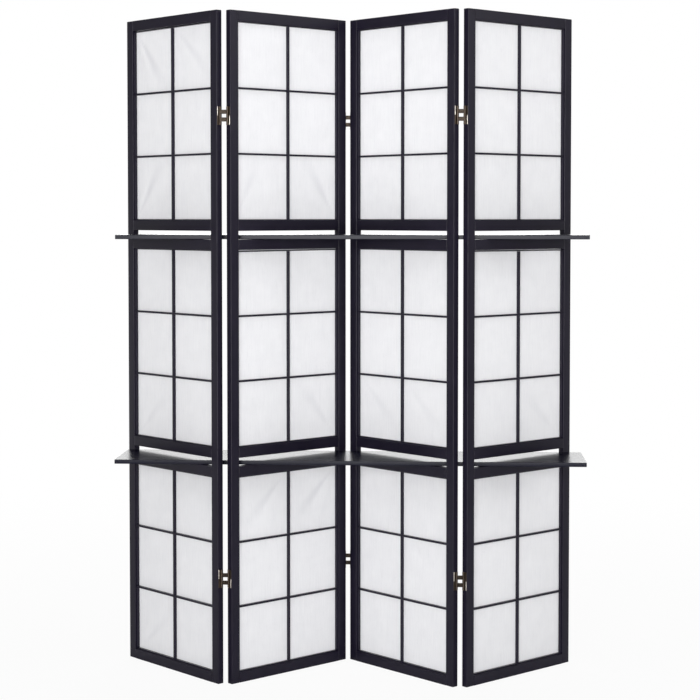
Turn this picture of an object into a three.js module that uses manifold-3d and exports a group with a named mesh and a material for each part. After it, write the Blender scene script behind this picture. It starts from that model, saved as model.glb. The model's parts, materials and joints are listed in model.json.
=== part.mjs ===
// A four-panel shoji folding screen with two loose shelves, in millimetres, +Z up.
//
// Each panel is two full-height stiles with three identical lattice sections between them.
// A slot is left between one section and the next, and a long shelf board runs through the
// slots of all four panels. Paper is stretched behind every lattice. The panels stand in a
// zigzag and are joined, end face to end face, by two-pin brass hinges that fold either way.
// X runs along the shelves, and the side from which the screen is seen faces -Y.

import * as THREE from 'three';
import { mergeVertices } from 'three/addons/utils/BufferGeometryUtils.js';
import Module from 'manifold-3d';

const wasm = await Module();
wasm.setup();

// ---- Driving dimensions -------------------------------------------------------------

const PANEL_HEIGHT = 1778;
const PANEL_WIDTH = 410;
const PANEL_THICKNESS = 18;
const FOLD_ANGLE = THREE.MathUtils.degToRad(45.7);   // each panel to the line of the shelves

const STILE_WIDTH = 27;
const RAIL_HEIGHT = 27.5;
const SLOT_HEIGHT = 22.5;

const LATTICE_SETBACK = 4;          // from the front face of the frame to the lattice
const LATTICE_DEPTH = 8.5;
const BAR_WIDTH = 5.2;
const STRIP_WIDTH = 3;              // the thin strips around the inside of each opening
const LATTICE_ROWS = 3;
const LATTICE_TENON = 3;            // how far the strips and bars run into the rails

const PAPER_THICKNESS = 0.6;

const SHELF_OVERHANG = 38.96;       // both ends together, past the middles of the outer panel ends
const SHELF_DEPTH = 217;
const SHELF_THICKNESS = 11.5;
const SHELF_SHIFT = 18;             // the boards lie this far right of the middle joint
const SHELF_STAGGER = 2.4;          // and the upper one this much further, the lower this much less
const SHELF_FOLD_CLEARANCE = 0.5;   // shelf to far stiles where they come closest as it folds

const HINGE_HEIGHT = 48;
const HINGE_FROM_TOP = 276;
const HINGE_FROM_BOTTOM = 281;
const HINGE_PLATE_THICKNESS = 0.9;
const HINGE_PLATE_MARGIN = 1.5;     // bare wood left along both sides of a hinge plate
const HINGE_BARREL_RADIUS = 1.85;
const HINGE_PIN_RADIUS = 0.85;
const HINGE_TAB_HEIGHT = 11;        // each of the two bridges between the pins
const HINGE_TAB_THICKNESS = 1.4;
const HINGE_NECK_THICKNESS = 2.4;
const HINGE_BEAD_RADIUS = 1;        // rolled edge along half of each plate
const FOLDED_FACE_GAP = 1.2;        // between two panels folded flat together

const SCREW_HEAD_RADIUS = 2.4;
const SCREW_HEAD_HEIGHT = 0.7;
const SCREW_SPACING = 24;
const SCREW_SET_BACK = 12.6;        // from the front face of the panel to the screw centres

const FIT_GAP = 0.3;                // between pieces that touch on the real screen
const TURNING_GAP = 0.3;            // between hinge pieces that turn on each other
const ROUND_SEGMENTS = 12;

// ---- Sizes that follow --------------------------------------------------------------

const SECTION_HEIGHT = (PANEL_HEIGHT - 2 * SLOT_HEIGHT) / 3;
const SECTION_WIDTH = PANEL_WIDTH - 2 * STILE_WIDTH - 2 * FIT_GAP;
const SECTION_PITCH = SECTION_HEIGHT + SLOT_HEIGHT;
const WINDOW_BOTTOM = RAIL_HEIGHT + STRIP_WIDTH;
const WINDOW_TOP = SECTION_HEIGHT - RAIL_HEIGHT - STRIP_WIDTH;
const LATTICE_BACK = LATTICE_SETBACK + LATTICE_DEPTH;

const PLATE_FACE = FIT_GAP + HINGE_PLATE_THICKNESS;
const PIN_OFFSET = PLATE_FACE + TURNING_GAP + HINGE_BARREL_RADIUS;
const PIN_SPACING = PANEL_THICKNESS + FOLDED_FACE_GAP;
const LEAF_BORE_RADIUS = HINGE_PIN_RADIUS + TURNING_GAP;
const LEAF_BARREL_HEIGHT = (HINGE_HEIGHT - 2 * HINGE_TAB_HEIGHT - 4 * TURNING_GAP) / 3;

// A board is as long as the row of panels from end to end, and its overhang.
const JOINT_RUN = 2 * PIN_OFFSET * Math.cos(FOLD_ANGLE) + PIN_SPACING;
const SHELF_LENGTH = 4 * PANEL_WIDTH * Math.cos(FOLD_ANGLE) + 3 * JOINT_RUN + SHELF_OVERHANG;

// A far stile's inner corners swing around the far pin on this radius while the screen folds.
const STILE_CORNER_REACH = Math.hypot(PIN_OFFSET + STILE_WIDTH, PANEL_THICKNESS / 2);
const SHELF_BACK = -(STILE_CORNER_REACH + SHELF_FOLD_CLEARANCE);

// ---- Finishes -----------------------------------------------------------------------

const BLACK_LACQUER = { color: 0x26242d, roughness: 0.42, metalness: 0 };
const SHELF_LACQUER = { color: 0x201f27, roughness: 0.22, metalness: 0 };
const RICE_PAPER = { color: 0xebebf0, roughness: 0.9, metalness: 0 };
const ANTIQUE_BRASS = { color: 0x7d6a4a, roughness: 0.45, metalness: 0.9 };

// ---- Solid helpers ------------------------------------------------------------------

function block(x0, x1, y0, y1, z0, z1) {
  const geometry = new THREE.BoxGeometry(x1 - x0, y1 - y0, z1 - z0);
  return geometry.translate((x0 + x1) / 2, (y0 + y1) / 2, (z0 + z1) / 2);
}

function uprightCylinder(x, y, radius, z0, z1) {
  const geometry = new THREE.CylinderGeometry(radius, radius, z1 - z0, ROUND_SEGMENTS);
  return geometry.rotateX(Math.PI / 2).translate(x, y, (z0 + z1) / 2);
}

function screwHead(x, y, z, radius, height) {
  const geometry = new THREE.CylinderGeometry(radius * 0.8, radius, height, ROUND_SEGMENTS);
  return geometry.rotateZ(-Math.PI / 2).translate(x + height / 2, y, z);
}

function solidOf(geometry) {
  const bare = geometry.clone();
  bare.deleteAttribute('normal');
  bare.deleteAttribute('uv');
  const merged = mergeVertices(bare, 1e-4);
  return new wasm.Manifold(new wasm.Mesh({
    numProp: 3,
    vertProperties: new Float32Array(merged.attributes.position.array),
    triVerts: new Uint32Array(merged.index.array),
  }));
}

function geometryOf(solid) {
  const mesh = solid.getMesh();
  const geometry = new THREE.BufferGeometry();
  geometry.setAttribute('position', new THREE.BufferAttribute(new Float32Array(mesh.vertProperties), 3));
  geometry.setIndex(new THREE.BufferAttribute(new Uint32Array(mesh.triVerts), 1));
  geometry.computeVertexNormals();
  return geometry;
}

function joined(geometries) {
  return geometries.map(solidOf).reduce((whole, piece) => whole.add(piece));
}

function piece(name, geometry, finish) {
  const mesh = new THREE.Mesh(geometry, new THREE.MeshStandardMaterial(finish));
  mesh.name = name;
  return mesh;
}

// ---- Panel pieces, in the panel's own frame: X along its width, Y from front to back --

function stile(name, left) {
  const body = block(left, left + STILE_WIDTH, 0, PANEL_THICKNESS, 0, PANEL_HEIGHT);
  return piece(name, body, BLACK_LACQUER);
}

// Two rails with the lattice that is glued between them.
function sectionSolid() {
  const front = LATTICE_SETBACK;
  const back = LATTICE_BACK;
  const intoRail = RAIL_HEIGHT - LATTICE_TENON;
  const intoTopRail = SECTION_HEIGHT - intoRail;
  const middle = SECTION_WIDTH / 2;
  const parts = [
    block(0, SECTION_WIDTH, 0, PANEL_THICKNESS, 0, RAIL_HEIGHT),
    block(0, SECTION_WIDTH, 0, PANEL_THICKNESS, SECTION_HEIGHT - RAIL_HEIGHT, SECTION_HEIGHT),
    block(0, SECTION_WIDTH, front, back, intoRail, WINDOW_BOTTOM),
    block(0, SECTION_WIDTH, front, back, WINDOW_TOP, intoTopRail),
    block(0, STRIP_WIDTH, front, back, intoRail, intoTopRail),
    block(SECTION_WIDTH - STRIP_WIDTH, SECTION_WIDTH, front, back, intoRail, intoTopRail),
    block(middle - BAR_WIDTH / 2, middle + BAR_WIDTH / 2, front, back, intoRail, intoTopRail),
  ];
  for (let row = 1; row < LATTICE_ROWS; row += 1) {
    const height = WINDOW_BOTTOM + (WINDOW_TOP - WINDOW_BOTTOM) * row / LATTICE_ROWS;
    parts.push(block(0, SECTION_WIDTH, front, back, height - BAR_WIDTH / 2, height + BAR_WIDTH / 2));
  }
  return joined(parts);
}

const sectionGeometry = geometryOf(sectionSolid());

function section(name, bottom) {
  const mesh = piece(name, sectionGeometry.clone(), BLACK_LACQUER);
  mesh.position.set(STILE_WIDTH + FIT_GAP, 0, bottom);
  return mesh;
}

// The sheet lies against the back of the lattice, between the rails and the stiles.
function paper(name, bottom) {
  const front = LATTICE_BACK + FIT_GAP;
  const sheet = block(
    STILE_WIDTH + FIT_GAP, PANEL_WIDTH - STILE_WIDTH - FIT_GAP,
    front, front + PAPER_THICKNESS,
    bottom + RAIL_HEIGHT + FIT_GAP, bottom + SECTION_HEIGHT - RAIL_HEIGHT - FIT_GAP,
  );
  return piece(name, sheet, RICE_PAPER);
}

// ---- Hinges -------------------------------------------------------------------------

// A hinge is five barrels high: leaf, bridge, leaf, bridge, leaf. Heights are from its middle.
function barrelBands() {
  const bands = { leaf: [], bridge: [] };
  let z = -HINGE_HEIGHT / 2;
  for (let index = 0; index < 5; index += 1) {
    const kind = index % 2 === 0 ? 'leaf' : 'bridge';
    const height = index % 2 === 0 ? LEAF_BARREL_HEIGHT : HINGE_TAB_HEIGHT;
    bands[kind].push([z, z + height]);
    z += height + TURNING_GAP;
  }
  return bands;
}

const BANDS = barrelBands();

// A leaf with its plate in the plane X = 0 and its barrels out along +X. Y runs from the
// panel's front face. beadSide is 1 where the rolled edge is on the upper half, else -1.
function leafSolid(beadSide) {
  const middle = PANEL_THICKNESS / 2;
  const half = HINGE_HEIGHT / 2;
  const plateBack = PANEL_THICKNESS - HINGE_PLATE_MARGIN;
  const parts = [block(FIT_GAP, PLATE_FACE, HINGE_PLATE_MARGIN, plateBack, -half, half)];
  for (const [low, high] of BANDS.leaf) {
    const neckHalf = HINGE_NECK_THICKNESS / 2;
    parts.push(block(PLATE_FACE - FIT_GAP, PIN_OFFSET, middle - neckHalf, middle + neckHalf, low, high));
    parts.push(uprightCylinder(PIN_OFFSET, middle, HINGE_BARREL_RADIUS, low, high));
  }
  for (const side of [-1, 1]) {
    const height = side * SCREW_SPACING / 2;
    parts.push(screwHead(PLATE_FACE - 0.1, SCREW_SET_BACK, height, SCREW_HEAD_RADIUS, SCREW_HEAD_HEIGHT + 0.1));
  }
  const beadLow = beadSide > 0 ? 0 : -half;
  const beadY = HINGE_PLATE_MARGIN + HINGE_BEAD_RADIUS;
  parts.push(uprightCylinder(PLATE_FACE - FIT_GAP / 2, beadY, HINGE_BEAD_RADIUS, beadLow, beadLow + half));
  const behindPlate = block(-PIN_OFFSET, FIT_GAP, 0, PANEL_THICKNESS, -half, half);
  const bore = uprightCylinder(PIN_OFFSET, middle, LEAF_BORE_RADIUS, -HINGE_HEIGHT, HINGE_HEIGHT);
  return joined(parts).subtract(solidOf(bore)).subtract(solidOf(behindPlate));
}

// The centre link carries both pins and turns on them between the two leaves.
function linkSolid() {
  const parts = [];
  for (const side of [-1, 1]) {
    const x = side * PIN_SPACING / 2;
    parts.push(uprightCylinder(x, 0, HINGE_PIN_RADIUS, -HINGE_HEIGHT / 2, HINGE_HEIGHT / 2));
    for (const [low, high] of BANDS.bridge) {
      parts.push(uprightCylinder(x, 0, HINGE_BARREL_RADIUS, low, high));
    }
  }
  for (const [low, high] of BANDS.bridge) {
    const thick = HINGE_TAB_THICKNESS / 2;
    parts.push(block(-PIN_SPACING / 2, PIN_SPACING / 2, -thick, thick, low, high));
  }
  return joined(parts);
}

const rightEndLeaf = geometryOf(leafSolid(1));
const leftEndLeaf = geometryOf(leafSolid(-1));
const linkGeometry = geometryOf(linkSolid());
const HINGE_LEVELS = { upper: PANEL_HEIGHT - HINGE_FROM_TOP, lower: HINGE_FROM_BOTTOM };

// The leaf on a panel's right end faces +X as it is made. The one on the left end is a
// mirrored copy, with its triangles turned over so that they still face out.
function mirroredInX(geometry) {
  const copy = geometry.clone();
  copy.scale(-1, 1, 1);
  const index = copy.index.array;
  for (let i = 0; i < index.length; i += 3) {
    [index[i], index[i + 1]] = [index[i + 1], index[i]];
  }
  copy.computeVertexNormals();
  return copy;
}

function leaf(name, onRightEnd, height) {
  const geometry = onRightEnd ? rightEndLeaf.clone() : mirroredInX(leftEndLeaf);
  const mesh = piece(name, geometry, ANTIQUE_BRASS);
  mesh.position.set(onRightEnd ? PANEL_WIDTH : 0, 0, height);
  return mesh;
}

// ---- Assembly -----------------------------------------------------------------------

function panel(number) {
  const group = new THREE.Group();
  group.add(stile(`stile_left_${number}`, 0));
  group.add(stile(`stile_right_${number}`, PANEL_WIDTH - STILE_WIDTH));
  ['bottom', 'middle', 'top'].forEach((level, index) => {
    const bottom = index * SECTION_PITCH;
    group.add(section(`lattice_${level}_${number}`, bottom));
    group.add(paper(`paper_${level}_${number}`, bottom));
  });
  for (const [level, height] of Object.entries(HINGE_LEVELS)) {
    if (number > 1) group.add(leaf(`hinge_leaf_${level}_left_${number}`, false, height));
    if (number < 4) group.add(leaf(`hinge_leaf_${level}_right_${number}`, true, height));
  }
  return group;
}

const LEFT_PIN = new THREE.Vector3(-PIN_OFFSET, PANEL_THICKNESS / 2, 0);
const RIGHT_PIN = new THREE.Vector3(PANEL_WIDTH + PIN_OFFSET, PANEL_THICKNESS / 2, 0);
const LINK_SPAN = new THREE.Vector3(PIN_SPACING, 0, 0);

// Turns a panel about Z and puts one of its two pins at a given place.
function placePanel(group, turn, pin, place) {
  group.rotation.z = turn;
  group.position.copy(place).sub(pin.clone().applyEuler(group.rotation));
}

function pinPlace(group, pin) {
  return pin.clone().applyEuler(group.rotation).add(group.position);
}

function hingeLinks(joint, leftPinPlace) {
  const group = new THREE.Group();
  for (const [level, height] of Object.entries(HINGE_LEVELS)) {
    const mesh = piece(`hinge_link_${level}_${joint}`, linkGeometry.clone(), ANTIQUE_BRASS);
    mesh.position.set(leftPinPlace.x + PIN_SPACING / 2, leftPinPlace.y, height);
    group.add(mesh);
  }
  return group;
}

// A board rests on the rail below its slot. Its back edge keeps clear of the far stiles.
function shelf(name, slotBottom, shift, farPinY) {
  const back = farPinY + SHELF_BACK;
  const bottom = slotBottom + FIT_GAP;
  const board = block(
    shift - SHELF_LENGTH / 2, shift + SHELF_LENGTH / 2,
    back - SHELF_DEPTH, back,
    bottom, bottom + SHELF_THICKNESS,
  );
  return piece(name, board, SHELF_LACQUER);
}

function foldingScreen() {
  const screen = new THREE.Group();
  const [first, second, third, fourth] = [1, 2, 3, 4].map(panel);

  // The middle joint is the far one, and the other panels hang on from it to both sides.
  const middlePin = new THREE.Vector3(-PIN_SPACING / 2, 0, 0);
  placePanel(second, FOLD_ANGLE, RIGHT_PIN, middlePin);
  placePanel(third, -FOLD_ANGLE, LEFT_PIN, middlePin.clone().add(LINK_SPAN));
  const leftJoint = pinPlace(second, LEFT_PIN).sub(LINK_SPAN);
  placePanel(first, -FOLD_ANGLE, RIGHT_PIN, leftJoint);
  const rightJoint = pinPlace(third, RIGHT_PIN);
  placePanel(fourth, FOLD_ANGLE, LEFT_PIN, rightJoint.clone().add(LINK_SPAN));

  screen.add(first, second, third, fourth);
  screen.add(hingeLinks('12', leftJoint));
  screen.add(hingeLinks('23', middlePin));
  screen.add(hingeLinks('34', rightJoint));
  const lowerShift = SHELF_SHIFT - SHELF_STAGGER;
  const upperShift = SHELF_SHIFT + SHELF_STAGGER;
  screen.add(shelf('shelf_lower', SECTION_HEIGHT, lowerShift, middlePin.y));
  screen.add(shelf('shelf_upper', SECTION_HEIGHT + SECTION_PITCH, upperShift, middlePin.y));

  // The origin is on the floor, at the middle of the whole screen.
  const bounds = new THREE.Box3().setFromObject(screen, true);
  const centre = bounds.getCenter(new THREE.Vector3());
  screen.position.set(-centre.x, -centre.y, 0);
  return screen;
}

export default foldingScreen();
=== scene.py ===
# %% [markdown]
# # A shoji folding screen with two shelves
#
# Four black panels stand in a zigzag. Each panel is two tall stiles with three lattice
# sections between them, and white paper is stretched behind every lattice. Two long boards
# lie in the slots between the sections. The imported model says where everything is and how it
# moves, and this file dresses it: boards with eased edges and grain, paper and aged brass.

import json
import math
import random

import bmesh
import bpy
from mathutils import Matrix, Vector, noise


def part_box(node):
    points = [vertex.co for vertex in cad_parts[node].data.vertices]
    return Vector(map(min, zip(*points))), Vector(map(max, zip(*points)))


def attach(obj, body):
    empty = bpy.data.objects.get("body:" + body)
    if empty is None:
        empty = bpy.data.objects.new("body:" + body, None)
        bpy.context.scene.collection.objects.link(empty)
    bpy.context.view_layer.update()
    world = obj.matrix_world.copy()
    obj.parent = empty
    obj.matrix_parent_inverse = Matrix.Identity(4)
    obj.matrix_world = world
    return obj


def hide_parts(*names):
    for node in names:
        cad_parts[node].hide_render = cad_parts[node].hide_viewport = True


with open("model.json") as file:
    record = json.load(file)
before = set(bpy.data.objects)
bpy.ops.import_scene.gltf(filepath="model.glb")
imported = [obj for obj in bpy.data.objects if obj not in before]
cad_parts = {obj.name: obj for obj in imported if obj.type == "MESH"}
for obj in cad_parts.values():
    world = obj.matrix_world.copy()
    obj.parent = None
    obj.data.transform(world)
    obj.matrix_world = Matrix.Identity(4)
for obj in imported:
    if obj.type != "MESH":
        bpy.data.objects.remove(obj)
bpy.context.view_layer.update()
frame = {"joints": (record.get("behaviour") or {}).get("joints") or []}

# %% [markdown]
# ## Where each panel stands
#
# A panel turns about upright pins just off its two ends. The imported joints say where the
# pins are, so the turn of the zigzag and the width of a panel both come from two of them.
# Every board is then drawn flat, in the panel's own frame, and carried to its place by one
# matrix: X runs along the panel, Y from its front face to its back, and Z up.

# %% Pins, turn and width
MM = 0.001
PANEL_THICKNESS = 18 * MM
PIN_OFFSET = 3.35 * MM              # from the end of a panel to its pin

joint_at = {j["name"]: Vector(j["pos_m"]) for j in frame["joints"] if "pos_m" in j}
second_left = joint_at["fold_links_12"]
second_right = joint_at["fold"]
across = second_right - second_left
turn = math.atan2(across.y, across.x)
panel_width = across.length - 2 * PIN_OFFSET
print("turn", round(math.degrees(turn), 2), "degrees, panel width", round(panel_width / MM, 1), "mm")


# %% One matrix for each panel
def panel_matrix(angle, pin, pin_at_right):
    """Carries the panel's own frame to the place where one of its pins is at pin."""
    own_x = panel_width + PIN_OFFSET if pin_at_right else -PIN_OFFSET
    own_pin = Vector((own_x, PANEL_THICKNESS / 2, 0))
    rotation = Matrix.Rotation(angle, 4, "Z")
    return Matrix.Translation(pin - rotation @ own_pin) @ rotation


PANELS = {
    1: panel_matrix(-turn, joint_at["fold_panel_1"], True),
    2: panel_matrix(turn, joint_at["fold"], True),
    3: panel_matrix(-turn, joint_at["fold_panel_3"], False),
    4: panel_matrix(turn, joint_at["fold_panel_4"], False),
}
LEVELS = ("bottom", "middle", "top")
print("front left corners at", [[round(v, 3) for v in place.translation.xy] for place in PANELS.values()])


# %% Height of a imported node
def height_span(node):
    """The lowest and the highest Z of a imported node."""
    low, high = map(Vector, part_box(node))
    return low.z, high.z


# %% [markdown]
# ## Colours and shader nodes
#
# Colours are written as the sRGB hex values that a colour picker gives. The render works in
# linear light, so one function turns them over. A second one adds a shader node, sets its
# inputs and links others to it, which keeps each material readable from top to bottom.


# %% Colour and node helpers
def linear(hex_colour):
    """sRGB hex such as "26232B" to linear RGBA."""
    channels = [int(hex_colour[i:i + 2], 16) / 255 for i in (0, 2, 4)]
    return tuple(c / 12.92 if c <= 0.04045 else ((c + 0.055) / 1.055) ** 2.4 for c in channels) + (1.0,)


def add(material, kind, settings=None, **inputs):
    """Adds one node. A value that is a socket is linked, and any other is set."""
    node = material.node_tree.nodes.new("ShaderNode" + kind)
    for name, value in (settings or {}).items():
        setattr(node, name, value)
    for name, value in inputs.items():
        key = int(name[1:]) if name[1:].isdigit() else name.replace("_", " ")
        socket = node.inputs[key]
        if isinstance(value, bpy.types.NodeSocket):
            material.node_tree.links.new(value, socket)
        else:
            socket.default_value = value
    return node


def new_material(name):
    """A material with an empty node tree."""
    material = bpy.data.materials.new(name)
    material.use_nodes = True
    material.node_tree.nodes.clear()
    return material


def finish_material(material, surface):
    """Links the last shader to the output."""
    add(material, "OutputMaterial", Surface=surface)
    return material


# %% [markdown]
# ## Black lacquered wood
#
# The frame is softwood sprayed with black lacquer and rubbed to a satin. Lacquer is a clear,
# plastic-like skin with an IOR near 1.5, so the wood looks dark and a little violet, and the
# eased edges catch thin pale lines of light. The grain telegraphs through the thin film: it
# is long along the board and about 1 mm across, drawn here at 1.5 mm so that it shows. Each
# board carries UVs in metres with U along its grain, so one material serves boards that
# stand up and boards that lie flat.
#
# The two shelf boards have a thicker, smoother coat that hides the grain. Both finishes hold
# the specular level under its default, to match the object: its faces throw back little light
# when they are seen head-on, while a board seen at a low angle still mirrors strongly.


# %% Grain that stands out under the film
def grain_relief(material, grain, clouds, roughness, depth):
    """Roughness and normal of a film thin enough to show the grain below it."""
    spread = 0.08 * depth
    sheen = add(material, "MapRange", Value=clouds, From_Min=0.3, From_Max=0.7,
                To_Min=roughness - spread, To_Max=roughness + spread)
    bump = add(material, "Bump", Height=grain, Strength=depth, Distance=0.2 * MM)
    return {"Roughness": sheen.outputs["Result"], "Normal": bump.outputs["Normal"]}


# %% Black lacquered wood
def lacquered_wood(name, dark, light, roughness, specular, grain_depth):
    """Wood under black lacquer, with grain in its sheen where the grain has a depth."""
    material = new_material(name)
    uv = add(material, "UVMap").outputs["UV"]
    grain_width = 1.5 * MM
    grain_length = 90 * MM
    cloud_size = 60 * MM
    stretched = add(material, "Mapping", Vector=uv, Scale=(1 / grain_length, 1 / grain_width, 1))
    grain = add(material, "TexNoise", Vector=stretched.outputs["Vector"],
                Scale=1.0, Detail=4.0, Roughness=0.6, Distortion=0.4).outputs["Fac"]
    clouds = add(material, "TexNoise", Vector=uv, Scale=1 / cloud_size, Detail=3.0).outputs["Fac"]
    mixed = add(material, "Math", {"operation": "MULTIPLY_ADD"}, _0=grain, _1=0.55, _2=clouds)
    tone = add(material, "MapRange", Value=mixed.outputs["Value"], From_Min=0.45, From_Max=1.1)
    colour = add(material, "MixRGB", Fac=tone.outputs["Result"], Color1=linear(dark), Color2=linear(light))
    finish = {"Roughness": roughness}
    if grain_depth > 0:
        finish = grain_relief(material, grain, clouds, roughness, grain_depth)
    surface = add(material, "BsdfPrincipled", Base_Color=colour.outputs["Color"], IOR=1.46,
                  Specular_IOR_Level=specular, **finish)
    return finish_material(material, surface.outputs["BSDF"])


satin_black = lacquered_wood("satin_black_lacquered_pine", "100C1C", "191425",
                             roughness=0.38, specular=0.35, grain_depth=0.35)
gloss_black = lacquered_wood("gloss_black_lacquered_board", "0A0A1A", "0E0E20",
                             roughness=0.25, specular=0.14, grain_depth=0)
print("wood finishes:", satin_black.name, gloss_black.name)

# %% [markdown]
# ## Fibrous white paper
#
# Shoji paper is made of long plant fibres. Seen from the front it is a cool white with fine
# upright streaks, a few curled darker fibres and soft clouds where the pulp is thicker. Light
# from behind shines through it, so part of its diffuse light is translucent. The streaks are
# 2.5 mm apart and the single fibres 0.6 mm thick, drawn coarser than life so that they show.
# The valleys of the creases are painted greyer, which is painted shade. The sheets further down
# write how much of that shade each point gets, and the material reads that.


# %% Fibrous white paper
def fibrous_paper():
    """Paper with streaks, fibres, clouds and painted shade in its creases, partly lit from behind."""
    material = new_material("fibrous_white_paper")
    uv = add(material, "UVMap").outputs["UV"]
    streak_width = 2.5 * MM
    streak_length = 70 * MM
    fibre_gap = 14 * MM
    fibre_length = 60 * MM
    cloud_size = 45 * MM
    shines_through = 0.3            # share of the light that comes from behind
    upright = add(material, "Mapping", Vector=uv, Scale=(1 / streak_width, 1 / streak_length, 1))
    streaks = add(material, "TexNoise", Vector=upright.outputs["Vector"],
                  Scale=1.0, Detail=3.0, Roughness=0.55, Distortion=0.6)
    fibre_place = add(material, "Mapping", Vector=uv, Scale=(1 / fibre_gap, 1 / fibre_length, 1))
    tangle = add(material, "TexNoise", Vector=fibre_place.outputs["Vector"],
                 Scale=1.0, Detail=2.0, Distortion=2.2)
    # A fibre runs where the tangled noise crosses its middle value.
    ridge = add(material, "Math", {"operation": "SUBTRACT"}, _0=tangle.outputs["Fac"], _1=0.5)
    near_ridge = add(material, "Math", {"operation": "ABSOLUTE"}, _0=ridge.outputs["Value"])
    fibre = add(material, "MapRange", Value=near_ridge.outputs["Value"],
                From_Min=0.0, From_Max=0.02, To_Min=1.0, To_Max=0.0)
    clouds = add(material, "TexNoise", Vector=uv, Scale=1 / cloud_size, Detail=2.0)
    streak_part = add(material, "Math", {"operation": "MULTIPLY"}, _0=streaks.outputs["Fac"], _1=0.6)
    thick = add(material, "Math", {"operation": "MULTIPLY_ADD"},
                _0=fibre.outputs["Result"], _1=0.16, _2=streak_part.outputs["Value"])
    body = add(material, "Math", {"operation": "MULTIPLY_ADD"},
               _0=clouds.outputs["Fac"], _1=0.35, _2=thick.outputs["Value"])
    tone = add(material, "MapRange", Value=body.outputs["Value"], From_Min=0.25, From_Max=0.8)
    colour = add(material, "MixRGB", Fac=tone.outputs["Result"],
                 Color1=linear("F6F6F8"), Color2=linear("E9E9EC"))
    # Painted shade: the valleys of the creases are darkened towards a grey, as far as each point's value
    # says.
    crease_shade = add(material, "Attribute", {"attribute_name": "crease_shade"}).outputs["Fac"]
    creased = add(material, "MixRGB", Fac=crease_shade, Color1=colour.outputs["Color"], Color2=linear("D0D0D6"))
    bump = add(material, "Bump", Height=body.outputs["Value"], Strength=0.25, Distance=0.3 * MM)
    front = add(material, "BsdfPrincipled", Base_Color=creased.outputs["Color"], Roughness=0.85,
                IOR=1.5, Normal=bump.outputs["Normal"], Sheen_Weight=0.1)
    through = add(material, "BsdfTranslucent", Color=colour.outputs["Color"])
    both = add(material, "MixShader", Fac=shines_through,
               _1=front.outputs["BSDF"], _2=through.outputs["BSDF"])
    return finish_material(material, both.outputs["Shader"])


white_paper = fibrous_paper()
print("paper:", white_paper.name)

# %% [markdown]
# ## Antique brass
#
# The hinges are stamped brass plate, darkened by a bath and then rubbed, so that the high
# places are bright and the hollows stay brown. A metal keeps the default IOR. Pointiness is
# high on edges and low in corners, which is just where rubbing reaches and does not. The
# rolled edge of a leaf stands proud of everything else and is rubbed bare, and the screw
# heads are rubbed a little. The leaves mark those parts themselves, as a value on each point.


# %% Antique brass
def antique_brass():
    """Brown brass, paler on its edges and bright where a leaf marks it as rubbed."""
    material = new_material("antique_brass")
    place = add(material, "TexCoord").outputs["Object"]
    blotch_size = 3 * MM
    blotch = add(material, "TexNoise", Vector=place, Scale=1 / blotch_size, Detail=4.0)
    edge = add(material, "NewGeometry").outputs["Pointiness"]
    worn_edge = add(material, "MapRange", Value=edge,
                    From_Min=0.47, From_Max=0.56, To_Min=0.0, To_Max=0.7)
    wear = add(material, "Math", {"operation": "MULTIPLY_ADD"},
               _0=blotch.outputs["Fac"], _1=0.6, _2=worn_edge.outputs["Result"])
    tone = add(material, "MapRange", Value=wear.outputs["Value"], From_Min=0.25, From_Max=0.95)
    colour = add(material, "MixRGB", Fac=tone.outputs["Result"],
                 Color1=linear("171412"), Color2=linear("5C5148"))
    rubbed = add(material, "Attribute", {"attribute_name": "rubbed"}).outputs["Fac"]
    bright = add(material, "MixRGB", Fac=rubbed, Color1=colour.outputs["Color"], Color2=linear("E4DCD2"))
    bump = add(material, "Bump", Height=blotch.outputs["Fac"], Strength=0.15, Distance=0.1 * MM)
    surface = add(material, "BsdfPrincipled", Base_Color=bright.outputs["Color"], Metallic=1.0,
                  Roughness=0.38, Normal=bump.outputs["Normal"])
    return finish_material(material, surface.outputs["BSDF"])


aged_brass = antique_brass()
print("metal:", aged_brass.name)

# %% [markdown]
# ## Boards with eased edges
#
# A sawn board never has a perfectly sharp edge: it is sanded to about a millimetre, and that
# small round is what catches the light. A box in bmesh with its edges bevelled gives just
# that. The same function writes the UVs in metres, with U along the grain, and starts each
# board at its own place in the grain, because no two boards are cut from the same spot.

# %% Draw one board into a mesh
ALONG_X, ALONG_Z = 0, 2             # the axis that a board's grain follows
GRAIN_FIELD = 40                    # metres of grain in which a board may start
grain_luck = random.Random(7)


def draw_board(mesh, low, high, ease, grain_axis):
    """Adds a board from low to high, with edges eased by that radius, to a bmesh."""
    low, high = Vector(low), Vector(high)
    middle = (low + high) / 2
    size = high - low
    place = Matrix.Translation(middle) @ Matrix.Diagonal((*size, 1))
    corners = bmesh.ops.create_cube(mesh, size=1.0, matrix=place)["verts"]
    edges = list({edge for vert in corners for edge in vert.link_edges})
    before = set(mesh.faces) - {face for vert in corners for face in vert.link_faces}
    bmesh.ops.bevel(mesh, geom=edges, offset=ease, segments=2, profile=0.5, affect="EDGES")
    uv_layer = mesh.loops.layers.uv.verify()
    start = Vector((grain_luck.uniform(0, GRAIN_FIELD), grain_luck.uniform(0, GRAIN_FIELD)))
    others = [axis for axis in range(3) if axis != grain_axis]
    for face in set(mesh.faces) - before:
        facing = max(others, key=lambda axis: abs(face.normal[axis]))
        side = others[0] if facing == others[1] else others[1]
        for loop in face.loops:
            along = loop.vert.co[grain_axis]
            loop[uv_layer].uv = (start.x + along, start.y + loop.vert.co[side] + loop.vert.co[facing])


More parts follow.
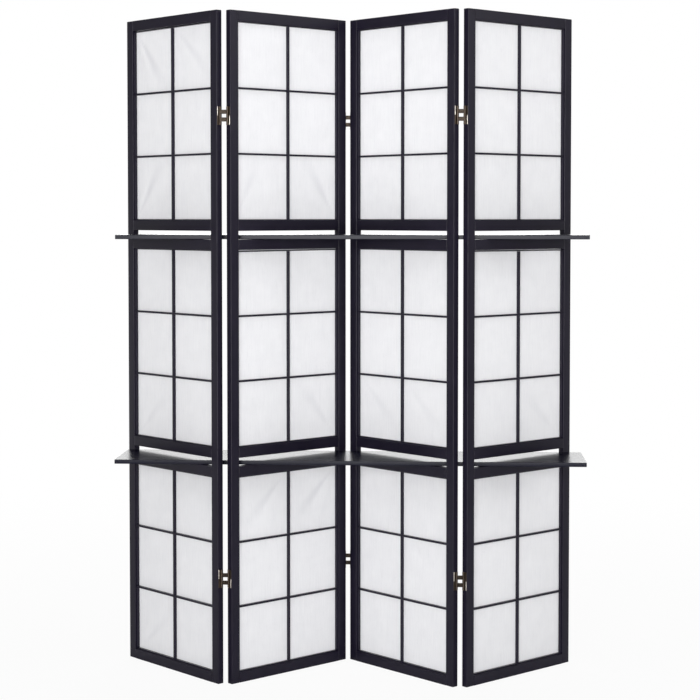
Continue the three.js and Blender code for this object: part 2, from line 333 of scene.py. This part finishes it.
# %% Turn a mesh into a piece
def make_piece(node, kind, mesh, place, material, body):
    """Puts a bmesh in place with its material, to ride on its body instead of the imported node."""
    mesh.transform(place)
    mesh.normal_update()
    name = f"{node}_{kind}"
    data = bpy.data.meshes.new(name)
    mesh.to_mesh(data)
    mesh.free()
    data.shade_smooth()
    data.materials.append(material)
    piece = bpy.data.objects.new(name, data)
    bpy.context.scene.collection.objects.link(piece)
    flat_faces = piece.modifiers.new("flat_faces", "WEIGHTED_NORMAL")
    flat_faces.keep_sharp = True
    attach(piece, body)
    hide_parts(node)
    return piece


# %% [markdown]
# ## Stiles
#
# The stiles are the tall side members, 27 mm by 18 mm, standing on the floor, with their ends
# cut square. Their edges are eased more than those of the rails, by 1.8 mm, and that wider
# round gives the upright lines of light along each panel. A scaled cube with a bevel modifier
# would do too, but a bevel drawn in the mesh lets the grain's UVs follow it round the edges.

# %% Stiles
STILE_WIDTH = 27 * MM
STILE_EASE = 1.8 * MM


def make_stile(side, number):
    """The stile on one side of a panel, from the floor to the top of its node."""
    node = f"stile_{side}_{number}"
    floor, top = height_span(node)
    left = 0 if side == "left" else panel_width - STILE_WIDTH
    mesh = bmesh.new()
    draw_board(mesh, (left, 0, floor), (left + STILE_WIDTH, PANEL_THICKNESS, top), STILE_EASE, ALONG_Z)
    return make_piece(node, "board", mesh, PANELS[number], satin_black, f"panel_{number}")


stiles = [make_stile(side, number) for number in PANELS for side in ("left", "right")]
print(len(stiles), "stiles")

# %% [markdown]
# ## Rails and lattice
#
# A section is two rails with a light lattice between them: four thin strips around the
# opening, an upright bar down its middle and two crossbars, all set back from the face. The
# strips are tacked in by hand, so on a few sections the top one has moved a little off its
# rail and a sliver of paper shows between them. Those few are listed by panel and level, with
# the slip of the strip's left and right end. One mesh for a section keeps its eleven boards
# together as the glued unit that they are, while each is still drawn as a board of its own.

# %% Lattice sizes
RAIL_HEIGHT = 27.5 * MM
RAIL_EASE = 1.0 * MM
FIT_GAP = 0.3 * MM                  # between pieces that fit against each other
OPENING_LEFT = STILE_WIDTH + FIT_GAP
LATTICE_SETBACK = 4 * MM
LATTICE_DEPTH = 8.5 * MM
LATTICE_BACK = LATTICE_SETBACK + LATTICE_DEPTH
BAR_WIDTH = 5.2 * MM
BAR_EASE = 0.5 * MM
STRIP_WIDTH = 3 * MM
COLUMNS, ROWS = 2, 3                # lights in a section
SLIPPED_STRIPS = {
    (2, "middle"): (2.6 * MM, 1.4 * MM),
    (4, "middle"): (1.2 * MM, 2.4 * MM),
    (1, "top"): (1.8 * MM, 0.6 * MM),
}
print("opening", round((panel_width - 2 * OPENING_LEFT) / MM, 1), "mm wide,", COLUMNS * ROWS, "lights")


# %% Strips and bars
def draw_bar(mesh, x0, x1, z0, z1, grain_axis):
    """A strip or bar of the lattice, set back from the face of the panel."""
    draw_board(mesh, (x0, LATTICE_SETBACK, z0), (x1, LATTICE_BACK, z1), BAR_EASE, grain_axis)


def draw_slanting_strip(mesh, x0, x1, z_left, z_right):
    """A strip whose two ends lie at different heights, drawn straight and then sheared."""
    first = len(mesh.verts)
    draw_bar(mesh, x0, x1, 0, STRIP_WIDTH, ALONG_X)
    mesh.verts.ensure_lookup_table()
    for vert in mesh.verts[first:]:
        share = (vert.co.x - x0) / (x1 - x0)
        vert.co.z += z_left + (z_right - z_left) * share


# %% Sections
def make_section(level, number):
    """Two rails, four strips, an upright bar and four crossbar halves between two stiles."""
    node = f"lattice_{level}_{number}"
    bottom, top = height_span(node)
    left = OPENING_LEFT
    right = panel_width - left
    low = bottom + RAIL_HEIGHT
    high = top - RAIL_HEIGHT
    slip_left, slip_right = SLIPPED_STRIPS.get((number, level), (0, 0))
    mesh = bmesh.new()
    draw_board(mesh, (left, 0, bottom), (right, PANEL_THICKNESS, low), RAIL_EASE, ALONG_X)
    draw_board(mesh, (left, 0, high), (right, PANEL_THICKNESS, top), RAIL_EASE, ALONG_X)
    foot = low + STRIP_WIDTH
    head = high - STRIP_WIDTH
    draw_slanting_strip(mesh, left, right, low, low)
    draw_slanting_strip(mesh, left, right, head - slip_left, head - slip_right)
    middle = (left + right) / 2
    bar_left = middle - BAR_WIDTH / 2
    bar_right = middle + BAR_WIDTH / 2
    upright_head = head - max(slip_left, slip_right)
    for x0, x1 in ((left, left + STRIP_WIDTH), (right - STRIP_WIDTH, right), (bar_left, bar_right)):
        draw_bar(mesh, x0, x1, foot, upright_head, ALONG_Z)
    for row in range(1, ROWS):
        z = foot + (head - foot) * row / ROWS
        for x0, x1 in ((left + STRIP_WIDTH, bar_left), (bar_right, right - STRIP_WIDTH)):
            draw_bar(mesh, x0, x1, z - BAR_WIDTH / 2, z + BAR_WIDTH / 2, ALONG_X)
    return make_piece(node, "boards", mesh, PANELS[number], satin_black, f"panel_{number}")


sections = {(level, number): make_section(level, number) for number in PANELS for level in LEVELS}
print(len(sections), "sections of 11 boards each")

# %% [markdown]
# ## Paper sheets
#
# The paper is glued wet to the back of the lattice and pulls tight as it dries. It stays flat
# on the bars and bellies by a fraction of a millimetre between them, and where it was pulled
# askew, soft creases fan out from a corner of a light. A cloth simulation could give such
# creases, but not in chosen places. So each sheet is a fine grid, moved front to back by a
# smooth noise that fades to nothing at every bar, with a fan of creases added in the lights
# that show them, and each point keeps how much painted shade its crease valley gets.

# %% Sizes of bellies and creases
STEPS = 24                          # grid squares along each side of a light
LIGHT_SIZE = 175 * MM               # about the width and the height of a light
BELLY = 0.5 * MM
BELLY_WAVES = (2.2, 1.4)            # across a light and up it
FOLDS_PER_RADIAN = 12
FAN_WIDTH = 0.35                    # radians to each side of the middle fold
FAN_REACH = 0.65                    # share of a light that the folds run into it
FULL_SHADE_DEPTH = 1.2 * MM           # a fold this deep gets the full painted shade
print("a sheet is a grid of", COLUMNS * STEPS, "by", ROWS * STEPS, "squares")

# %% Creased lights: panel, level, column, row from the top, corner, angle from level and slope
CREASES = [
    (1, "top", 0, 0, (0, 1), 58, 0.26),
    (1, "top", 1, 0, (0, 1), 48, 0.16),
    (1, "top", 0, 2, (0, 0), 62, 0.22),
    (1, "middle", 0, 2, (0, 0), 50, 0.10),
    (1, "bottom", 0, 2, (0, 0), 45, 0.08),
    (2, "top", 0, 2, (0, 0), 72, 0.12),
    (2, "top", 1, 2, (1, 0), 64, 0.22),
    (2, "middle", 1, 2, (1, 0), 58, 0.14),
    (2, "bottom", 0, 0, (1, 1), 50, 0.14),
    (2, "bottom", 1, 0, (1, 1), 50, 0.20),
    (3, "middle", 0, 2, (0, 1), 50, 0.10),
    (3, "middle", 1, 2, (0, 1), 50, 0.08),
    (4, "middle", 1, 2, (1, 0), 50, 0.10),
]
print(len(CREASES), "creased lights")


# %% Shape of the paper inside one light
def crease_depth(a, b, corner, angle, slope):
    """A few folds that fan out from a corner of the light and die away from it."""
    dx, dz = abs(a - corner[0]), abs(b - corner[1])
    reach = math.hypot(dx, dz)
    turn_from_fold = math.atan2(dz, dx) - math.radians(angle)
    folds = math.sin(FOLDS_PER_RADIAN * turn_from_fold) * math.exp(-(turn_from_fold / FAN_WIDTH) ** 2)
    return slope * LIGHT_SIZE / FOLDS_PER_RADIAN * reach * math.exp(-(reach / FAN_REACH) ** 2) * folds


def belly_depth(a, b, seed):
    """A slow swell, at a place of its own in the noise for each light."""
    return BELLY * noise.noise(Vector((a * BELLY_WAVES[0] + seed, b * BELLY_WAVES[1] - seed, seed)))


def paper_depth(number, level, column, row, a, b):
    """How far the paper lies in front of its plane at a, b, each 0 to 1 across the light,
    and how much painted shade its crease valley gets there."""
    hold = math.sin(math.pi * a) * math.sin(math.pi * b)      # 0 where a bar holds the paper
    seed = number * 17.3 + LEVELS.index(level) * 5.1 + column * 2.7 + row * 1.3
    belly = belly_depth(a, b, seed) * hold ** 0.7
    folds = 0.0
    for panel, on_level, on_column, on_row, *crease in CREASES:
        if (panel, on_level, on_column, on_row) == (number, level, column, row):
            folds += crease_depth(a, b, *crease) * hold ** 0.3
    # The second value is painted shade: the deeper a crease's valley, the greyer the paper is painted.
    return belly + folds, min(1.0, max(0.0, -folds / FULL_SHADE_DEPTH))


# %% Sheets
PAPER_STANDOFF = 0.2 * MM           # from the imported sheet's front to the paper's plane


def make_paper(level, number):
    """One sheet, stretched over the back of its section's lattice."""
    node = f"paper_{level}_{number}"
    bottom, top = height_span(node)
    left = OPENING_LEFT
    width = panel_width - 2 * left
    height = top - bottom
    plane = LATTICE_BACK + FIT_GAP + PAPER_STANDOFF
    mesh = bmesh.new()
    uv_layer = mesh.loops.layers.uv.verify()
    # Each point carries the painted shade of its crease valley.
    crease_shade = mesh.verts.layers.float.new("crease_shade")
    across_steps, up_steps = COLUMNS * STEPS, ROWS * STEPS
    grid = []
    for j in range(up_steps + 1):
        row = ROWS - 1 - min(j // STEPS, ROWS - 1)
        for i in range(across_steps + 1):
            column = min(i // STEPS, COLUMNS - 1)
            a, b = (i % STEPS) / STEPS, (j % STEPS) / STEPS
            depth, shade_share = paper_depth(number, level, column, row, a, b)
            place = (left + width * i / across_steps, plane - depth, bottom + height * j / up_steps)
            point = mesh.verts.new(place)
            point[crease_shade] = shade_share
            grid.append(point)
    start = Vector((number * 3.1, LEVELS.index(level) * 2.3))     # each sheet's place in the roll
    for j in range(up_steps):
        for i in range(across_steps):
            at = j * (across_steps + 1) + i
            above = at + across_steps + 1
            face = mesh.faces.new((grid[at], grid[at + 1], grid[above + 1], grid[above]))
            for loop in face.loops:
                loop[uv_layer].uv = (start.x + loop.vert.co.x, start.y + loop.vert.co.z)
    piece = make_piece(node, "sheet", mesh, PANELS[number], white_paper, f"panel_{number}")
    return piece


papers = [make_paper(level, number) for number in PANELS for level in LEVELS]
print(len(papers), "sheets,", round(papers[0].dimensions.z / MM, 1), "mm tall")

# %% [markdown]
# ## Shelves
#
# The boards lie loose in the slots. They are smoother and glossier than the frame, so at the
# low angle from which they are seen they mirror whatever stands behind them. Each is one
# board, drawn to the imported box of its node, because it lies square in the model already.

# %% Shelves
SHELF_EASE = 1.2 * MM


def make_shelf(level):
    """One long board, as large as its node's box."""
    node = f"shelf_{level}"
    low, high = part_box(node)
    mesh = bmesh.new()
    draw_board(mesh, low, high, SHELF_EASE, ALONG_X)
    return make_piece(node, "board", mesh, Matrix.Identity(4), gloss_black, f"board_{level}")


shelves = [make_shelf(level) for level in ("lower", "upper")]
print("boards", [[round(v / MM) for v in board.dimensions] for board in shelves])

# %% [markdown]
# ## Hinges
#
# A screen hinge folds both ways: two leaves are screwed to the ends of the panels, and a
# link between them turns on a pin at each side. The leaf is stamped plate with its knuckles
# rolled from it, and one half of its front edge is rolled over to stiffen it. Each outline is
# drawn flat and pushed out with eased rims, because stampings have soft edges.

# %% Hinge sizes
HINGE_HEIGHT = 48 * MM
PLATE_THICKNESS = 0.9 * MM
PLATE_MARGIN = 1.5 * MM
BARREL_RADIUS = 1.85 * MM
PIN_RADIUS = 0.85 * MM
TAB_HEIGHT = 11 * MM
TAB_THICKNESS = 1.4 * MM
TURNING_GAP = 0.3 * MM              # between a tab and a knuckle
RIM = 0.18 * MM
TAB_RIM = 0.1 * MM
TABS = 2                            # on a link
KNUCKLES = TABS + 1                 # on a leaf
PIN_SPACING = (joint_at["fold_panel_3"] - joint_at["fold"]).length
KNUCKLE_HEIGHT = (HINGE_HEIGHT - TABS * TAB_HEIGHT - 2 * TABS * TURNING_GAP) / KNUCKLES
PITCH = KNUCKLE_HEIGHT + TAB_HEIGHT + 2 * TURNING_GAP
print("pins", round(PIN_SPACING / MM, 2), "mm apart, knuckles", round(KNUCKLE_HEIGHT / MM, 2), "mm high")


# %% Push an outline out into a stamping with soft rims
def arc(x, y, radius, start, sweep, steps):
    """Points along an arc, with both of its ends."""
    angles = [start + sweep * i / steps for i in range(steps + 1)]
    return [(x + radius * math.cos(t), y + radius * math.sin(t)) for t in angles]


def circle(x, y, radius, steps):
    """Points around a circle, which is an arc without its last point."""
    return arc(x, y, radius, 0, 2 * math.pi, steps)[:-1]


def join_rings(mesh, lower, upper):
    """Closes the band between two rings that have as many points as each other."""
    count = len(lower)
    for i in range(count):
        k = (i + 1) % count
        mesh.faces.new((lower[i], lower[k], upper[k], upper[i]))


def draw_prism(mesh, outline, z0, z1, rim=RIM):
    """An upright prism over an outline, its two rims drawn in by the rim size."""
    cx = sum(x for x, _ in outline) / len(outline)
    cy = sum(y for _, y in outline) / len(outline)
    reach = max(math.hypot(x - cx, y - cy) for x, y in outline)
    inset = 1 - rim / reach
    rings = []
    for z, scale in ((z0, inset), (z0 + rim, 1), (z1 - rim, 1), (z1, inset)):
        rings.append([mesh.verts.new((cx + (x - cx) * scale, cy + (y - cy) * scale, z)) for x, y in outline])
    for lower, upper in zip(rings, rings[1:]):
        join_rings(mesh, lower, upper)
    mesh.faces.new(list(reversed(rings[0])))
    mesh.faces.new(rings[-1])


# %% [markdown]
# ## Screws
#
# The screws have low domed heads with a cross to drive them. A head could be a scaled sphere
# with the cross cut out of it, but a cut leaves untidy faces. Rings of points are cleaner: a
# few rings rise and narrow to the dome, the next one pinches in between four tips to draw the
# cross, and a copy of that, sunk into the head, is its floor.

# %% Screw sizes
SCREW_RADIUS = 2.4 * MM
SCREW_HEIGHT = 0.7 * MM
SCREW_STEPS = 24
HEAD_PROFILE = ((1.0, 0.0), (1.0, 0.45), (0.88, 0.8), (0.6, 1.0))     # shares of radius and height
CROSS_TIP, CROSS_WAIST = 0.52, 0.16                                    # shares of the radius
CROSS_DEPTH = 0.8                                                      # share of the height
print("screw heads", round(2 * SCREW_RADIUS / MM, 1), "mm wide")


# %% A screw head with a sunk cross
def screw_ring(mesh, x, y, z, shares):
    """A ring of points around a line along X, each at its own share of the screw's radius."""
    ring = []
    for i, share in enumerate(shares):
        t = 2 * math.pi * i / len(shares)
        across_head = SCREW_RADIUS * share
        ring.append(mesh.verts.new((x, y + across_head * math.cos(t), z + across_head * math.sin(t))))
    return ring


def draw_screw(mesh, x, y, z):
    """A domed head on a face that looks along +X, with a cross sunk into it."""
    rings = []
    for share, rise in HEAD_PROFILE:
        rings.append(screw_ring(mesh, x + SCREW_HEIGHT * rise, y, z, [share] * SCREW_STEPS))
    quarter = SCREW_STEPS // 4
    reaches = [CROSS_TIP if i % quarter == 0 else CROSS_WAIST for i in range(SCREW_STEPS)]
    cross = screw_ring(mesh, x + SCREW_HEIGHT, y, z, reaches)
    sunk = CROSS_DEPTH * SCREW_HEIGHT
    floor = [mesh.verts.new((vert.co.x - sunk, vert.co.y, vert.co.z)) for vert in cross]
    rings += [cross, floor]
    for lower, upper in zip(rings, rings[1:]):
        join_rings(mesh, lower, upper)
    mesh.faces.new(floor)


# %% [markdown]
# ## Leaves
#
# A leaf is a plate on the end of the panel, three knuckles that open onto it, two screws and
# the rolled bead on half of its front edge, which is the upper half on a panel's right end and
# the lower half on its left end. One leaf is drawn for a right end, and a left end gets its
# mirror image, with its faces flipped back so that they look outwards again.

# %% Leaf sizes
KNUCKLE_START, KNUCKLE_SWEEP = math.radians(200), math.radians(320)
KNUCKLE_STEPS = 24
NECK_TO_FRONT, NECK_TO_BACK = 1.6 * MM, 0.6 * MM      # where a knuckle meets its plate
SCREW_SPACING = 24 * MM
SCREW_SET_BACK = 12.6 * MM
SCREW_SINK = 0.05 * MM
BEAD_RADIUS = 1.0 * MM
BEAD_SINK = 0.2 * MM
BEAD_END_GAP = 0.4 * MM
BEAD_STEPS = 16
BEAD_RUBBED, SCREW_RUBBED = 1.0, 0.35                 # how far the bath has been rubbed off
print("beads", round((HINGE_HEIGHT / 2 - BEAD_END_GAP) / MM, 1), "mm long")


# %% Leaves
def leaf_mesh(bead_up):
    """A leaf in the frame of a panel's right end, its plate on X = 0 and its middle at Z = 0."""
    mesh = bmesh.new()
    rubbed = mesh.verts.layers.float.new("rubbed")
    half = HINGE_HEIGHT / 2
    plate_front = FIT_GAP + PLATE_THICKNESS
    plate = ((FIT_GAP, PLATE_MARGIN, -half), (plate_front, PANEL_THICKNESS - PLATE_MARGIN, half))
    draw_board(mesh, *plate, RIM, ALONG_Z)
    pin_y = PANEL_THICKNESS / 2
    neck_x = plate_front - RIM
    knuckle = arc(PIN_OFFSET, pin_y, BARREL_RADIUS, KNUCKLE_START, KNUCKLE_SWEEP, KNUCKLE_STEPS)
    knuckle += [(neck_x, pin_y + NECK_TO_BACK), (neck_x, pin_y - NECK_TO_FRONT)]
    for index in range(KNUCKLES):
        z0 = -half + index * PITCH
        draw_prism(mesh, knuckle, z0, z0 + KNUCKLE_HEIGHT)
    dull = len(mesh.verts)
    for side in (-1, 1):
        draw_screw(mesh, plate_front - SCREW_SINK, SCREW_SET_BACK, side * SCREW_SPACING / 2)
    screwed = len(mesh.verts)
    bead_low = BEAD_END_GAP if bead_up else -half
    bead = circle(plate_front - BEAD_SINK, PLATE_MARGIN + BEAD_RADIUS, BEAD_RADIUS, BEAD_STEPS)
    draw_prism(mesh, bead, bead_low, bead_low + half - BEAD_END_GAP)
    mesh.verts.ensure_lookup_table()
    for vert in mesh.verts[dull:screwed]:
        vert[rubbed] = SCREW_RUBBED
    for vert in mesh.verts[screwed:]:
        vert[rubbed] = BEAD_RUBBED
    return mesh


def make_leaf(level, side, number):
    """The leaf on one end of a panel, at the height of its node."""
    node = f"hinge_leaf_{level}_{side}_{number}"
    low, high = height_span(node)
    mesh = leaf_mesh(side == "right")
    if side == "left":
        mesh.transform(Matrix.Diagonal((-1, 1, 1, 1)))
        bmesh.ops.reverse_faces(mesh, faces=mesh.faces[:])
    end = panel_width if side == "right" else 0
    place = PANELS[number] @ Matrix.Translation((end, 0, (low + high) / 2))
    return make_piece(node, "brass", mesh, place, aged_brass, f"panel_{number}")


LEAF_ENDS = (("right", 1), ("left", 2), ("right", 2), ("left", 3), ("right", 3), ("left", 4))
leaves = [make_leaf(level, side, number) for side, number in LEAF_ENDS for level in ("lower", "upper")]
print(len(leaves), "hinge leaves")

# %% [markdown]
# ## Links
#
# A link is two flat tabs, one above the other, with a barrel at each end that goes round a
# pin. It is drawn as a bone-shaped outline of two arcs: each arc starts and stops where the
# tab's flat sides meet the barrel. The two pins run the whole height of the hinge, through the
# knuckles of both leaves.

# %% Links
TAB_END_STEPS = 18
PIN_STEPS = 14


def make_link(level, joint):
    """The two tabs and two pins that join the leaves of two panels."""
    node = f"hinge_link_{level}_{joint}"
    low, high = map(Vector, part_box(node))
    mesh = bmesh.new()
    half_spacing = PIN_SPACING / 2
    lead = math.asin(TAB_THICKNESS / 2 / BARREL_RADIUS)
    sweep = 2 * math.pi - 2 * lead
    bone = arc(-half_spacing, 0, BARREL_RADIUS, lead, sweep, TAB_END_STEPS)
    bone += arc(half_spacing, 0, BARREL_RADIUS, math.pi + lead, sweep, TAB_END_STEPS)
    z0 = -HINGE_HEIGHT / 2 + KNUCKLE_HEIGHT + TURNING_GAP
    for index in range(TABS):
        foot = z0 + index * PITCH
        draw_prism(mesh, bone, foot, foot + TAB_HEIGHT, TAB_RIM)
    for side in (-1, 1):
        pin = circle(side * half_spacing, 0, PIN_RADIUS, PIN_STEPS)
        draw_prism(mesh, pin, -HINGE_HEIGHT / 2, HINGE_HEIGHT / 2)
    place = Matrix.Translation((low + high) / 2)
    return make_piece(node, "brass", mesh, place, aged_brass, f"links_{joint}")


links = [make_link(level, joint) for joint in ("12", "23", "34") for level in ("lower", "upper")]
print(len(links), "hinge links")

# %% [markdown]
# ## Floor and surroundings
#
# The screen stands on a white studio floor before a white wall. Painted surfaces would never
# come out evenly white, so the camera is shown a plain white instead of the lit paint. Mirrored
# rays see that white too, but only behind the screen, where the wall would be, because the
# studio in front of it is dim. Everything else is lit by a fainter fill from all sides. Close
# to the screen the floor lets a little of its own paint through, which keeps the shadow.

# %% Which rays see plain white
WHITE = (1.0, 1.0, 1.0, 1.0)
PLAIN_WHITE = 1.0                   # strength
FILL = 0.3                          # strength


def sees_white(material, behind):
    """1 for a ray from the camera, and behind's share for a mirrored or transmitted one."""
    ray = add(material, "LightPath")
    mirrored = add(material, "Math", {"operation": "ADD"},
                   _0=ray.outputs["Is Glossy Ray"], _1=ray.outputs["Is Transmission Ray"])
    mirrored_behind = add(material, "Math", {"operation": "MULTIPLY"},
                          _0=mirrored.outputs["Value"], _1=behind)
    seen = add(material, "Math", {"operation": "ADD", "use_clamp": True},
               _0=ray.outputs["Is Camera Ray"], _1=mirrored_behind.outputs["Value"])
    return seen.outputs["Value"]


# %% Floor paint
def studio_floor_paint():
    material = new_material("white_studio_floor")
    place = add(material, "TexCoord").outputs["Object"]
    mottle_size = 0.5
    mottle = add(material, "TexNoise", Vector=place, Scale=1 / mottle_size, Detail=2.0)
    colour = add(material, "MixRGB", Fac=mottle.outputs["Fac"],
                 Color1=linear("DEDEDE"), Color2=linear("E2E2E2"))
    paint = add(material, "BsdfPrincipled", Base_Color=colour.outputs["Color"], Roughness=0.9)
    white = add(material, "Emission", Color=WHITE, Strength=PLAIN_WHITE)
    parts = add(material, "SeparateXYZ", Vector=place)
    behind = add(material, "MapRange", Value=parts.outputs["Y"], From_Min=0.5, From_Max=1.5)
    seen = sees_white(material, behind.outputs["Result"])
    away = add(material, "VectorMath", {"operation": "LENGTH"}, _0=place)
    # From 0.7 m to 3.5 m away from the middle, the last 7 % of the paint fades out.
    share = add(material, "MapRange", Value=away.outputs["Value"],
                From_Min=0.7, From_Max=3.5, To_Min=0.93, To_Max=1.0)
    white_part = add(material, "Math", {"operation": "MULTIPLY"}, _0=seen, _1=share.outputs["Result"])
    shown = add(material, "MixShader", Fac=white_part.outputs["Value"],
                _1=paint.outputs["BSDF"], _2=white.outputs["Emission"])
    return finish_material(material, shown.outputs["Shader"])


# %% Floor
FLOOR_RADIUS = 30.0

floor_mesh = bmesh.new()
bmesh.ops.create_circle(floor_mesh, cap_ends=True, radius=FLOOR_RADIUS, segments=64)
floor_data = bpy.data.meshes.new("floor")
floor_mesh.to_mesh(floor_data)
floor_mesh.free()
floor_data.materials.append(studio_floor_paint())
floor = bpy.data.objects.new("floor", floor_data)
bpy.context.scene.collection.objects.link(floor)
print("floor", [round(v) for v in floor.dimensions], "m")


# %% World
def studio_world():
    """Plain white for the camera and for mirrors that look back, and a fill for the rest."""
    world = bpy.data.worlds.new("white_studio")
    world.use_nodes = True
    world.node_tree.nodes.clear()
    direction = add(world, "TexCoord").outputs["Generated"]
    towards = add(world, "SeparateXYZ", Vector=direction)
    behind = add(world, "MapRange", Value=towards.outputs["Y"], From_Min=0.4, From_Max=0.8)
    seen = sees_white(world, behind.outputs["Result"])
    fill = add(world, "Background", Color=WHITE, Strength=FILL)
    white = add(world, "Background", Color=WHITE, Strength=PLAIN_WHITE)
    shown = add(world, "MixShader", Fac=seen,
                _1=fill.outputs["Background"], _2=white.outputs["Background"])
    add(world, "OutputWorld", Surface=shown.outputs["Shader"])
    return world


bpy.context.scene.world = studio_world()
print("world", bpy.context.scene.world.name)

# %% [markdown]
# ## Lamps
#
# A photographer lights a screen like this with large soft boxes. The main one stands behind
# the camera at about its height and lights all the panels evenly. A small one overhead pales
# the upper edges, and a small one at the right lights the faces that look that way. A big one
# behind the screen shines through the paper and gives the boards something bright to mirror.


# %% Lamps
def soft_lamp(name, place, target, size, watts):
    """A rectangular lamp, aimed at a point."""
    data = bpy.data.lights.new(name, "AREA")
    data.shape = "RECTANGLE"
    data.size, data.size_y = size
    data.energy = watts
    lamp = bpy.data.objects.new(name, data)
    lamp.location = place
    lamp.rotation_euler = (Vector(target) - Vector(place)).to_track_quat("-Z", "Y").to_euler()
    bpy.context.scene.collection.objects.link(lamp)
    return lamp


lamps = [
    soft_lamp("front_lamp", place=(-0.2, -5.4, 1.25), target=(0, 0, 0.85), size=(2.8, 2.2), watts=239),
    soft_lamp("top_lamp", place=(0.2, -1.7, 3.6), target=(0, 0, 0.9), size=(2.4, 1.2), watts=13),
    soft_lamp("side_lamp", place=(4.0, -0.7, 2.5), target=(0, 0, 1.3), size=(1.2, 1.4), watts=14),
    soft_lamp("back_lamp", place=(-0.2, 4.6, 2.6), target=(0, 0, 1.0), size=(3.4, 2.2), watts=105),
]
print("lamps", [lamp.data.energy for lamp in lamps], "W")

# %% [markdown]
# ## Camera
#
# The photograph's uprights are parallel, although its horizon lies above the middle, so it was
# taken with a level camera and a shifted lens. That takes a shift of a quarter of the picture,
# which would push the screen out of views from other sides. About a third of it is done here
# with lens shift, and the rest by tilting the camera down a little.

# %% Camera
SENSOR_WIDTH = 36.0                 # in mm, as the camera wants it
FOCAL_LENGTH = 94.2                 # in mm too
LENS_SHIFT = -0.08
TILT_DOWN, TURN_LEFT = 2.443, 3.0   # degrees
CAMERA_PLACE = (0.2547, -4.9321, 1.24)

camera_data = bpy.data.cameras.new("camera")
camera_data.sensor_width = SENSOR_WIDTH
camera_data.lens = FOCAL_LENGTH
camera_data.shift_y = LENS_SHIFT
camera = bpy.data.objects.new("camera", camera_data)
camera.location = CAMERA_PLACE
camera.rotation_euler = (math.radians(90 - TILT_DOWN), 0, math.radians(TURN_LEFT))
bpy.context.scene.collection.objects.link(camera)
bpy.context.scene.camera = camera
bpy.context.scene.view_settings.view_transform = "Standard"
print("camera sees", round(math.degrees(camera_data.angle), 1), "degrees across")
